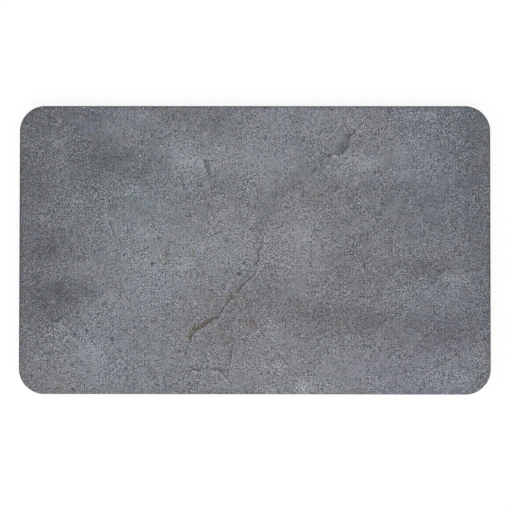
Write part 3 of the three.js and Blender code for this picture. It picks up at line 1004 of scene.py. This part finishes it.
def decor_material():
    """The printed stone under melamine's clear glaze, with painted shade along the edges, and scuffed a
    little along the shoulder.
    """
    material, wiring, shader = new_material("stone_print")
    place = wiring.node("ShaderNodeAttribute", attribute_name="print_place").outputs["Vector"]
    loose = wiring.warped(wiring.warped(place, 34 * MM, 16 * MM, 3.0), 9 * MM, 4 * MM)
    close = wiring.warped(place, 4.5 * MM, 1.6 * MM)

    lines = (
        (RUST_BAND, RUST, 0.60, 0.0, 0),
        (VEIN, DARK_PRINT_AND_SHADE, 0.86, 0.2, -1),
        (UPPER_CRACK, DARK_PRINT_AND_SHADE, 0.76, 0.2, -1),
        (LEFT_FAINT_LINE, DARK_PRINT_AND_SHADE, 0.44, 0.2, 0),
        (LOWER_CRACK, DARK_PRINT_AND_SHADE, 0.66, 0.2, -1),
        (HAIRLINE, DARK_PRINT_AND_SHADE, 0.56, 0.2, 0),
        (HOOK, RUST, 0.40, 0.2, 0),
        (SMEAR_EDGE, DARK_PRINT_AND_SHADE, 0.46, 0.2, 1),
        (SMEAR, DARK_PRINT_AND_SHADE, 0.25, 0.3, 0),
        (SMEAR_TAIL, DARK_PRINT_AND_SHADE, 0.12, 0.3, 0),
        (TAIL_EDGE, DARK_PRINT_AND_SHADE, 0.34, 0.2, 0),
        (SHORT_CRACK, DARK_PRINT_AND_SHADE, 0.52, 0.2, 0),
        (BROWN_HAIR, RUST, 0.44, 0.2, 0),
        (LEFT_SCRATCH, DARK_PRINT_AND_SHADE, 0.60, 0.2, -1),
        (LEFT_WEDGE, DARK_PRINT_AND_SHADE, 0.84, 0.2, 1),
        (LEFT_STROKE, DARK_PRINT_AND_SHADE, 0.80, 0.2, -1),
        (SEAM, DARK_PRINT_AND_SHADE, 0.16, 0.0, 0),
    )
    tints = (0, 0, 0)
    for points, tint, strength, softness, lip_side in lines:
        core, lip = stone_line(wiring, close, points, softness, lip_side)
        tints = wiring.tinted(tints, core, tint, strength)
        if lip:
            tints = wiring.tinted(tints, lip, CHALK, LIP_STRENGTH)
    tints = stone_patches(wiring, close, SPOTS, tints)
    tints = stone_patches(wiring, loose, DARK_AND_LIGHT, tints, weight=1.05)
    tints = stone_patches(wiring, loose, CASTS, tints, weight=0.9)
    tints = stone_patches(wiring, loose, SMALL_PATCHES, tints, weight=1.2)

    lean = wiring.vector("DOT_PRODUCT", tints, (0.25, 0.25, 0.25))
    ragged = wiring.noise(loose, 13 * MM, 7.0, 0.80)
    chalky = wiring.ease(wiring.math("ADD", ragged, lean), 0.53, 0.61)
    sooty = wiring.ease(wiring.math("ADD", ragged, lean), 0.47, 0.39)
    clouds = wiring.total(wiring.centred(ragged, 0.70), wiring.math("MULTIPLY", chalky, 0.12),
                          wiring.math("MULTIPLY", sooty, -0.12))
    grain = stone_grain(wiring, place)
    crusts = stone_crusts(wiring, place, close)
    slanting = stone_streaks(wiring, place, STROKE_SLANT, (95, 335), (120, 90), 0.8)
    level = stone_streaks(wiring, place, LEVEL_SLANT, (400, 260), (140, 110), 0.5)
    inwards = edge_distance(wiring, place)
    # Painted shade: the print darkened a little towards the outline
    broad_shade = wiring.math("MULTIPLY", wiring.ease(inwards, 12 * MM, 1 * MM), -0.08)
    off_shoulder = wiring.math("ABSOLUTE", wiring.math("SUBTRACT", inwards, SHOULDER_MIDDLE))
    on_shoulder = wiring.ease(off_shoulder, 2.8 * MM, 0.4 * MM)
    # Painted shade across the rounded shoulder, strongest at its middle
    narrow_shade = wiring.math("MULTIPLY", on_shoulder, -0.12)
    scuffs = wiring.ease(wiring.noise(place, 3.5 * MM, 4.0, 0.65), 0.60, 0.70)
    worn = wiring.math("MULTIPLY", on_shoulder, scuffs)
    # The painted edge shade, together with the lighter scuffs of real wear on the shoulder
    edge_shade_and_wear = wiring.total(broad_shade, narrow_shade, wiring.math("MULTIPLY", worn, 0.30))
    light = wiring.total(clouds, grain, crusts, slanting, level, edge_shade_and_wear)

    hues = wiring.noise(loose, 10 * MM, 2.0, 0.6, colour=True)
    hues = wiring.vector("SUBTRACT", hues, (0.5, 0.5, 0.5))
    drift = wiring.vector("MULTIPLY", hues, HUE_DRIFT)
    shares = wiring.vector("ADD", wiring.vector("ADD", tints, drift), (1, 1, 1))
    shares = wiring.vector("ADD", shares, light)
    shares = wiring.vector("MAXIMUM", shares, DARKEST_SHARES)
    colour = wiring.vector("MULTIPLY", shares, STONE_GREY)
    wiring.feed(shader.inputs["Base Color"], colour)

    polish = wiring.centred(wiring.noise(place, 45 * MM, 3.0, 0.6), 0.16)
    sheen = wiring.math("MULTIPLY", grain, -0.08)
    rough = wiring.total(GLAZE_ROUGHNESS, polish, sheen, wiring.math("MULTIPLY", worn, 0.15))
    wiring.feed(shader.inputs["Roughness"], rough)

    orange_peel = wiring.centred(wiring.noise(place, 6.5 * MM, 1.0, 0.5), 1.0)
    tooth = wiring.centred(wiring.noise(place, 1.9 * MM, 1.0, 0.5), 0.8)
    wiring.feed(shader.inputs["Normal"], wiring.bump(wiring.math("ADD", orange_peel, tooth), 0.04 * MM))
    return material


MELAMINE_GREY = (0.092, 0.096, 0.104)
RUBBER_BLACK = (0.024, 0.025, 0.026)


def melamine_material():
    """The body's own dark melamine: satin, faintly mottled, with a ground and scuffed lower rim."""
    material, wiring, shader = new_material("dark_melamine")
    place = wiring.node("ShaderNodeTexCoord").outputs["Object"]
    axes = wiring.node("ShaderNodeSeparateXYZ")
    wiring.feed(axes.inputs["Vector"], place)
    clouds = wiring.solid_noise(place, 18 * MM, 5)
    mottle = wiring.centred(clouds, 0.35)
    specks = wiring.centred(wiring.solid_noise(place, 0.9 * MM, 2), 0.25)
    ground = wiring.ease(axes.outputs["Z"], RIM_Z + 1.2 * MM, RIM_Z + 0.2 * MM)
    scuffs = wiring.math("MULTIPLY", ground, wiring.ease(clouds, 0.40, 0.62))
    shares = wiring.total(1, mottle, specks, wiring.math("MULTIPLY", scuffs, 0.30))
    wiring.feed(shader.inputs["Base Color"], wiring.vector("MULTIPLY", shares, MELAMINE_GREY))
    rough = wiring.total(0.40, wiring.math("MULTIPLY", mottle, 0.4), wiring.math("MULTIPLY", ground, 0.22))
    wiring.feed(shader.inputs["Roughness"], rough)
    lumps = wiring.math("ADD", mottle, wiring.math("MULTIPLY", specks, 0.4))
    wiring.feed(shader.inputs["Normal"], wiring.bump(lumps, 0.05 * MM))
    return material


def rubber_material():
    """Dull black rubber, dusty where it meets the table."""
    material, wiring, shader = new_material("black_rubber")
    place = wiring.node("ShaderNodeTexCoord").outputs["Object"]
    axes = wiring.node("ShaderNodeSeparateXYZ")
    wiring.feed(axes.inputs["Vector"], place)
    cloud = wiring.solid_noise(place, 2.2 * MM, 4)
    near_table = wiring.ease(axes.outputs["Z"], 1.2 * MM, 0)
    dust = wiring.math("MULTIPLY", near_table, wiring.ease(cloud, 0.42, 0.62))
    shares = wiring.total(0.8, wiring.math("MULTIPLY", cloud, 0.4), wiring.math("MULTIPLY", dust, 1.6))
    wiring.feed(shader.inputs["Base Color"], wiring.vector("MULTIPLY", shares, RUBBER_BLACK))
    wiring.feed(shader.inputs["Roughness"], wiring.math("MULTIPLY_ADD", cloud, 0.25, 0.62))
    wiring.feed(shader.inputs["Normal"], wiring.bump(cloud, 0.06 * MM))
    return material


# Surroundings

FLOOR_SIDE = 30.0
FLOOR_ALBEDO = 0.82
SHADOW_SHARE = 0.18
WORLD_LIGHT = 0.44

# What the camera sees of the floor away from the shadow, just over white
FLOOR_SEEN = 1.01


def seen_directly(wiring):
    """1 for what the camera sees by itself, in a gloss or through glass, and 0 for plain light."""
    path = wiring.node("ShaderNodeLightPath")
    seen = wiring.math("MAXIMUM", path.outputs["Is Camera Ray"], path.outputs["Is Glossy Ray"])
    return wiring.math("MAXIMUM", seen, path.outputs["Is Transmission Ray"])


def floor_material():
    """Pale floor that the camera sees as white, with a share of the object's soft shadow."""
    material = bpy.data.materials.new("pale_floor")
    material.use_nodes = True
    tree = material.node_tree
    tree.nodes.clear()
    wiring = Wiring(tree)
    plain = wiring.node("ShaderNodeBsdfDiffuse")
    plain.inputs["Color"].default_value = (FLOOR_ALBEDO, FLOOR_ALBEDO, FLOOR_ALBEDO, 1)
    white = wiring.node("ShaderNodeEmission")
    white.inputs["Strength"].default_value = (FLOOR_SEEN - SHADOW_SHARE * FLOOR_ALBEDO) / (1 - SHADOW_SHARE)
    mix = wiring.node("ShaderNodeMixShader")
    wiring.feed(mix.inputs[0], wiring.math("MULTIPLY", seen_directly(wiring), 1 - SHADOW_SHARE))
    tree.links.new(plain.outputs[0], mix.inputs[1])
    tree.links.new(white.outputs[0], mix.inputs[2])
    output = wiring.node("ShaderNodeOutputMaterial")
    tree.links.new(mix.outputs[0], output.inputs["Surface"])
    return material


def add_floor():
    half = FLOOR_SIDE / 2
    mesh = bpy.data.meshes.new("floor")
    corners = [(-half, -half, 0), (half, -half, 0), (half, half, 0), (-half, half, 0)]
    mesh.from_pydata(corners, [], [(0, 1, 2, 3)])
    floor = new_object("floor", mesh)
    mesh.materials.append(floor_material())


def add_world():
    world = bpy.data.worlds.new("studio")
    world.use_nodes = True
    tree = world.node_tree
    tree.nodes.clear()
    wiring = Wiring(tree)
    lit = wiring.node("ShaderNodeBackground")
    lit.inputs["Color"].default_value = (1, 1, 1, 1)
    lit.inputs["Strength"].default_value = WORLD_LIGHT
    white = wiring.node("ShaderNodeBackground")
    white.inputs["Color"].default_value = (1, 1, 1, 1)
    white.inputs["Strength"].default_value = 1
    mix = wiring.node("ShaderNodeMixShader")
    wiring.feed(mix.inputs[0], seen_directly(wiring))
    tree.links.new(lit.outputs[0], mix.inputs[1])
    tree.links.new(white.outputs[0], mix.inputs[2])
    output = wiring.node("ShaderNodeOutputWorld")
    tree.links.new(mix.outputs[0], output.inputs["Surface"])
    bpy.context.scene.world = world


def add_lamp(name, place, spread, strength):
    """A broad soft lamp, far off in the direction of place, that lights everything alike."""
    data = bpy.data.lights.new(name, "SUN")
    data.angle = math.radians(spread)
    data.energy = strength
    lamp = bpy.data.objects.new(name, data)
    lamp.location = place
    lamp.rotation_euler = (-Vector(place)).to_track_quat("-Z", "Y").to_euler()
    bpy.context.scene.collection.objects.link(lamp)


def add_camera():
    data = bpy.data.cameras.new("camera")
    data.sensor_width = SENSOR_WIDTH
    data.lens = FOCAL_PIXELS / PHOTO_SIDE * SENSOR_WIDTH
    camera = bpy.data.objects.new("camera", data)
    lean = Euler(CAMERA_LEAN)
    camera.rotation_euler = lean
    camera.location = LOOK_AT + lean.to_matrix() @ Vector((0, 0, CAMERA_DISTANCE))
    bpy.context.scene.collection.objects.link(camera)
    bpy.context.scene.camera = camera


add_camera()
add_floor()
add_world()
add_lamp("key", (0.6, -2.2, 3.1), spread=50, strength=1.38)
add_lamp("fill", (-2.0, -0.4, 2.8), spread=60, strength=0.80)
bpy.context.scene.view_settings.view_transform = "Standard"

decor = new_object("decor_skin_print", decor_skin_mesh())
crisp_edges(decor.data, SHARP_ANGLE)
dress(decor, "decor_skin", decor_material())

body = new_object("tray_body_moulding", tray_body_mesh())
crisp_edges(body.data, BODY_SHARP_ANGLE)
dress(body, "tray_body", melamine_material())

rubber = rubber_material()
for foot_name in FEET:
    foot = new_object(f"{foot_name}_rubber", foot_mesh(foot_name))
    crisp_edges(foot.data, SHARP_ANGLE)
    dress(foot, foot_name, rubber)
